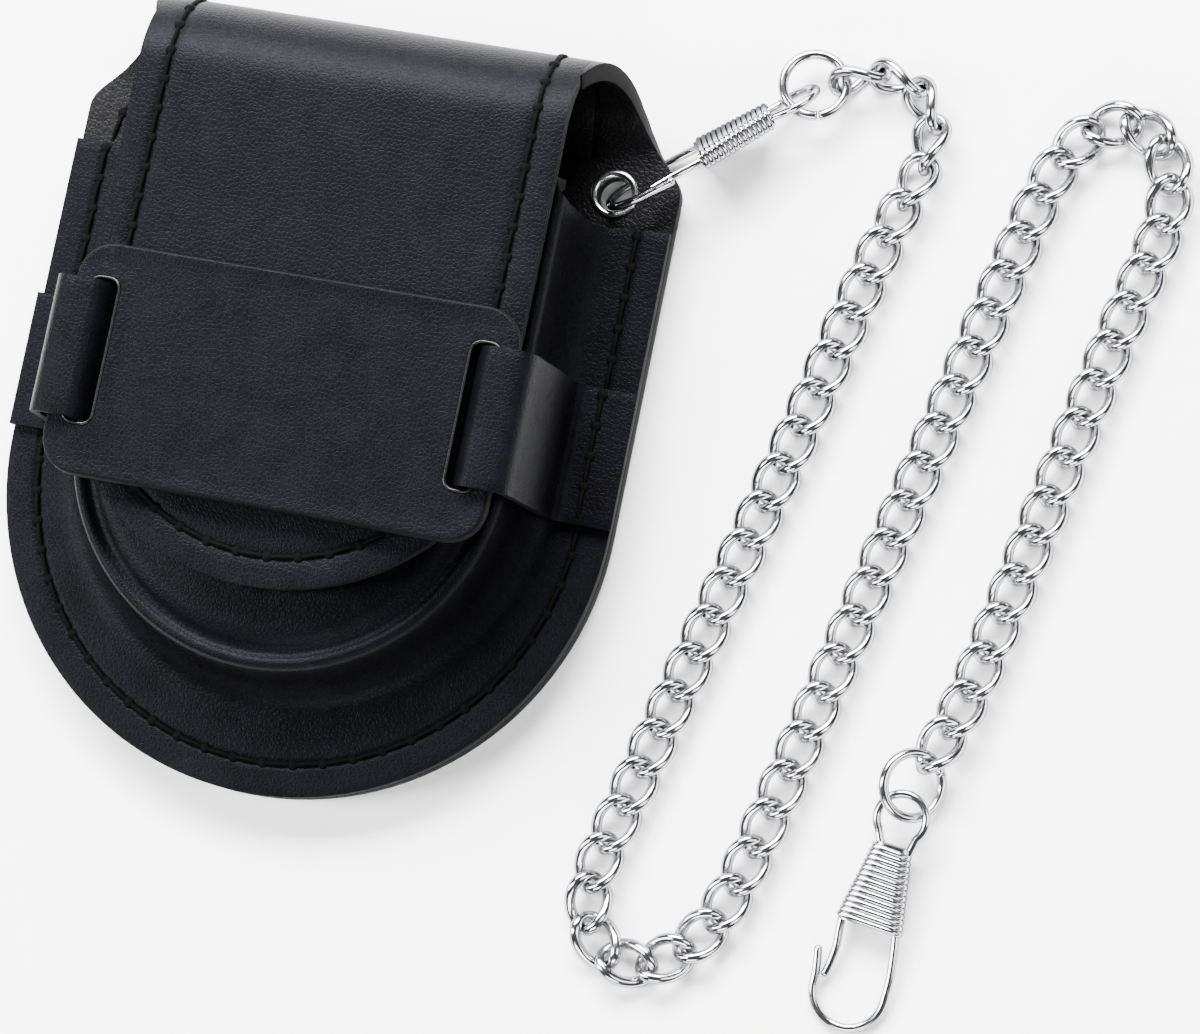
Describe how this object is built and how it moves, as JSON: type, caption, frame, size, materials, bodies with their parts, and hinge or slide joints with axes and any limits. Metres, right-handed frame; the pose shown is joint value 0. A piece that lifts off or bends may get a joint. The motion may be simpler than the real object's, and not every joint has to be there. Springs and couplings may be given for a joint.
{
  "type": "pocket watch chain with belt pouch",
  "caption": "Black leather belt pouch for a pocket watch, with a silver curb chain clipped to its eyelet by one snap clip and a second snap clip at the free end.",
  "frame": {"origin": "centre of the pocket's round end, on the surface that the pouch lies on", "axes": "+Z out of the pouch's front, +Y towards the arch of the flap, +X towards the side with the eyelet and chain"},
  "size_m": [0.1259, 0.106, 0.0249],
  "materials": {
    "smooth_leather": "smooth black leather with a soft sheen",
    "lining_leather": "pebbled black leather",
    "black_thread": "waxed thread",
    "eyelet_nickel": "polished nickel",
    "chain_steel": "polished nickel-plated steel",
    "wire_steel": "polished nickel-plated steel"
  },
  "bodies": {
    "pouch": {"belt_loop": "smooth_leather", "back_panel": "smooth_leather", "front_pocket": "smooth_leather", "flap_outer": "smooth_leather", "flap_lining": "lining_leather", "flange_stitches": "black_thread", "flap_stitches": "black_thread", "strap_stitches": "black_thread", "band_strap": "smooth_leather", "eyelet_front": "eyelet_nickel", "eyelet_back": "eyelet_nickel"},
    "band_plate": {"band_plate": "smooth_leather"},
    "clip_upper": {"clip_upper_wire": "wire_steel", "clip_upper_sleeve": "wire_steel"},
    "gate_upper": {"clip_upper_gate": "wire_steel"},
    "ring_upper": {"ring_upper": "wire_steel"},
    "chain_01": {"chain_01": "chain_steel"},
    "chain_02": {"chain_02": "chain_steel"},
    "chain_03": {"chain_03": "chain_steel"},
    "chain_04": {"chain_04": "chain_steel"},
    "chain_05": {"chain_05": "chain_steel"},
    "chain_06": {"chain_06": "chain_steel"},
    "chain_07": {"chain_07": "chain_steel"},
    "chain_08": {"chain_08": "chain_steel"},
    "chain_09": {"chain_09": "chain_steel"},
    "chain_10": {"chain_10": "chain_steel"},
    "chain_11": {"chain_11": "chain_steel"},
    "chain_12": {"chain_12": "chain_steel"},
    "ring_lower": {"ring_lower": "wire_steel"},
    "clip_lower": {"clip_lower_wire": "wire_steel", "clip_lower_sleeve": "wire_steel"},
    "gate_lower": {"clip_lower_gate": "wire_steel"}
  },
  "joints": [
    {"name": "plate_slide", "type": "slide", "parent": "pouch", "child": "band_plate", "axis": [1, 0, 0], "range_m": [-0.0003, 0.0003]},
    {"name": "clip_upper_swing", "type": "hinge", "parent": "pouch", "child": "clip_upper", "pos_m": [0.0276, 0.0382, 0.0026], "axis": [0, 0, 1], "range_deg": [-3, 15]},
    {"name": "gate_upper_press", "type": "hinge", "parent": "clip_upper", "child": "gate_upper", "pos_m": [0.0366, 0.0425, 0.00647], "axis": [0.545, -0.673, -0.5], "range_deg": [0, 20], "stiffness_Nm_per_rad": 0.004, "springref_deg": -5.73},
    {"name": "ring_upper_turn", "type": "hinge", "parent": "clip_upper", "child": "ring_upper", "pos_m": [0.0473, 0.0541, 0.0028], "axis": [0.1082, 0.0876, 0.9903], "range_deg": [-3, 20]},
    {"name": "chain_01_bend", "type": "hinge", "parent": "ring_upper", "child": "chain_01", "pos_m": [0.0499, 0.0549, 0.0024], "axis": [0.3915, -0.9202, 0], "range_deg": [-5, 20]},
    {"name": "chain_02_bend", "type": "hinge", "parent": "chain_01", "child": "chain_02", "pos_m": [0.05961, 0.04308, 0.0016], "axis": [0.9574, -0.2888, 0], "range_deg": [-20, 20]},
    {"name": "chain_03_bend", "type": "hinge", "parent": "chain_02", "child": "chain_03", "pos_m": [0.05304, 0.01633, 0.0016], "axis": [-0.9729, 0.2312, 0], "range_deg": [-20, 20]},
    {"name": "chain_04_bend", "type": "hinge", "parent": "chain_03", "child": "chain_04", "pos_m": [0.0464, -0.01041, 0.0016], "axis": [0.9701, -0.2426, 0], "range_deg": [-20, 20]},
    {"name": "chain_05_bend", "type": "hinge", "parent": "chain_04", "child": "chain_05", "pos_m": [0.04076, -0.03267, 0.0016], "axis": [0, 0, 1], "range_deg": [-20, 3]},
    {"name": "chain_06_bend", "type": "hinge", "parent": "chain_05", "child": "chain_06", "pos_m": [0.05432, -0.03876, 0.0016], "axis": [0, 0, 1], "range_deg": [-15, 3]},
    {"name": "chain_07_bend", "type": "hinge", "parent": "chain_06", "child": "chain_07", "pos_m": [0.06116, -0.01211, 0.0016], "axis": [0.9754, -0.2204, 0], "range_deg": [-20, 20]},
    {"name": "chain_08_bend", "type": "hinge", "parent": "chain_07", "child": "chain_08", "pos_m": [0.06727, 0.01476, 0.0016], "axis": [-0.9754, 0.2205, 0], "range_deg": [-20, 20]},
    {"name": "chain_09_bend", "type": "hinge", "parent": "chain_08", "child": "chain_09", "pos_m": [0.07324, 0.04166, 0.0016], "axis": [0, 0, 1], "range_deg": [-3, 20]},
    {"name": "chain_10_bend", "type": "hinge", "parent": "chain_09", "child": "chain_10", "pos_m": [0.08816, 0.04944, 0.0016], "axis": [0, 0, 1], "range_deg": [-3, 15]},
    {"name": "chain_11_bend", "type": "hinge", "parent": "chain_10", "child": "chain_11", "pos_m": [0.08417, 0.02693, 0.0016], "axis": [-0.9793, 0.2023, 0], "range_deg": [-20, 20]},
    {"name": "chain_12_bend", "type": "hinge", "parent": "chain_11", "child": "chain_12", "pos_m": [0.0797, 0.00441, 0.00159], "axis": [0.9805, -0.1963, 0], "range_deg": [-20, 20]},
    {"name": "ring_lower_tilt", "type": "hinge", "parent": "chain_12", "child": "ring_lower", "pos_m": [0.0739, -0.0177, 0.0025], "axis": [-0.9288, 0.3706, 0], "range_deg": [-10, 25]},
    {"name": "clip_lower_swing", "type": "hinge", "parent": "ring_lower", "child": "clip_lower", "pos_m": [0.0729, -0.0203, 0.0031], "axis": [0.5834, -0.0716, 0.809], "range_deg": [-15, 15]},
    {"name": "gate_lower_press", "type": "hinge", "parent": "clip_lower", "child": "gate_lower", "pos_m": [0.06798, -0.03634, 0.00165], "axis": [-0.0127, -0.1037, 0.9945], "range_deg": [0, 30], "stiffness_Nm_per_rad": 0.004, "springref_deg": -5.73}
  ]
}
